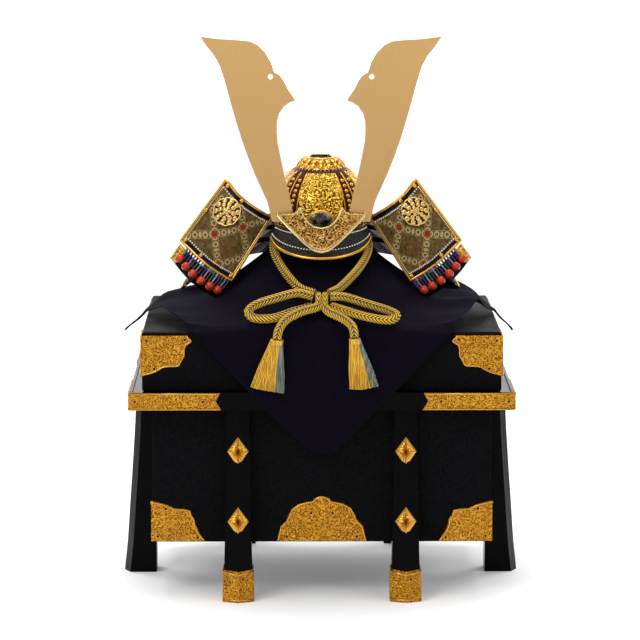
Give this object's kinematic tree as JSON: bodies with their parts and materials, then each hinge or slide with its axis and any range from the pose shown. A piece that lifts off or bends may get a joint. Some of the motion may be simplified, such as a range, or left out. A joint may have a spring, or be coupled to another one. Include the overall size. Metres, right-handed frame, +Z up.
{
  "type": "kabuto helmet on its storage chest",
  "caption": "Small display kabuto with tall crest horns, neck guard and turned-back wings, tied with a bow over a draped cloth on its legged lacquer chest.",
  "frame": {"origin": "middle of the plan, on the floor under the feet", "axes": "+X to the right as seen from the front, front is -Y, +Z up"},
  "size_m": [0.3846, 0.3146, 0.5241],
  "materials": {
    "black_lacquer": "gloss black lacquer over wood",
    "grained_black": "fine grained black covering, semi-gloss",
    "neck_lacquer": "black lacquered plates",
    "gilt_brass": "engraved gilt, satin to bright",
    "satin_gilt": "satin champagne gilt",
    "pale_brass": "pale embossed gilt",
    "printed_leather": "printed leather, matt",
    "navy_wool": "matt felted wool",
    "gold_silk": "braided silk",
    "polished_black": "polished",
    "plain_wood": "plain, hidden"
  },
  "bodies": {
    "root": {"chest_body": "black_lacquer", "chest_band": "black_lacquer", "leg_front_left": "black_lacquer", "leg_front_right": "black_lacquer", "leg_back_left": "black_lacquer", "leg_back_right": "black_lacquer", "leg_side_left": "black_lacquer", "leg_side_right": "black_lacquer", "chest_lid": "grained_black", "neck_plate_1": "neck_lacquer", "neck_plate_2": "neck_lacquer", "neck_plate_3": "neck_lacquer", "lid_plate_front_left": "gilt_brass", "lid_plate_front_right": "gilt_brass", "lid_plate_back_left": "gilt_brass", "lid_plate_back_right": "gilt_brass", "band_plate_front_left": "gilt_brass", "band_plate_front_right": "gilt_brass", "band_plate_back_left": "gilt_brass", "band_plate_back_right": "gilt_brass", "base_plate_front_left": "gilt_brass", "base_plate_front_right": "gilt_brass", "base_plate_back_left": "gilt_brass", "base_plate_back_right": "gilt_brass", "base_plate_centre": "gilt_brass", "foot_cap_left": "gilt_brass", "foot_cap_right": "gilt_brass", "boss_left_1": "gilt_brass", "boss_left_2": "gilt_brass", "boss_right_1": "gilt_brass", "boss_right_2": "gilt_brass", "bowl": "gilt_brass", "bowl_front_plate": "gilt_brass", "crown_ring": "gilt_brass", "roundel_left": "gilt_brass", "roundel_right": "gilt_brass", "horn_left": "satin_gilt", "horn_right": "satin_gilt", "crest_holder": "pale_brass", "visor": "printed_leather", "turn_back_left": "printed_leather", "turn_back_right": "printed_leather", "lower_turn_back_left": "printed_leather", "lower_turn_back_right": "printed_leather", "cloth": "navy_wool", "chin_cord": "gold_silk", "bow_loop_left": "gold_silk", "bow_loop_right": "gold_silk", "cord_tail_left": "gold_silk", "cord_tail_right": "gold_silk", "cord_knot": "gold_silk", "tassel_left": "gold_silk", "tassel_right": "gold_silk", "crest_boss": "polished_black", "stand_post": "plain_wood"}
  },
  "joints": []
}
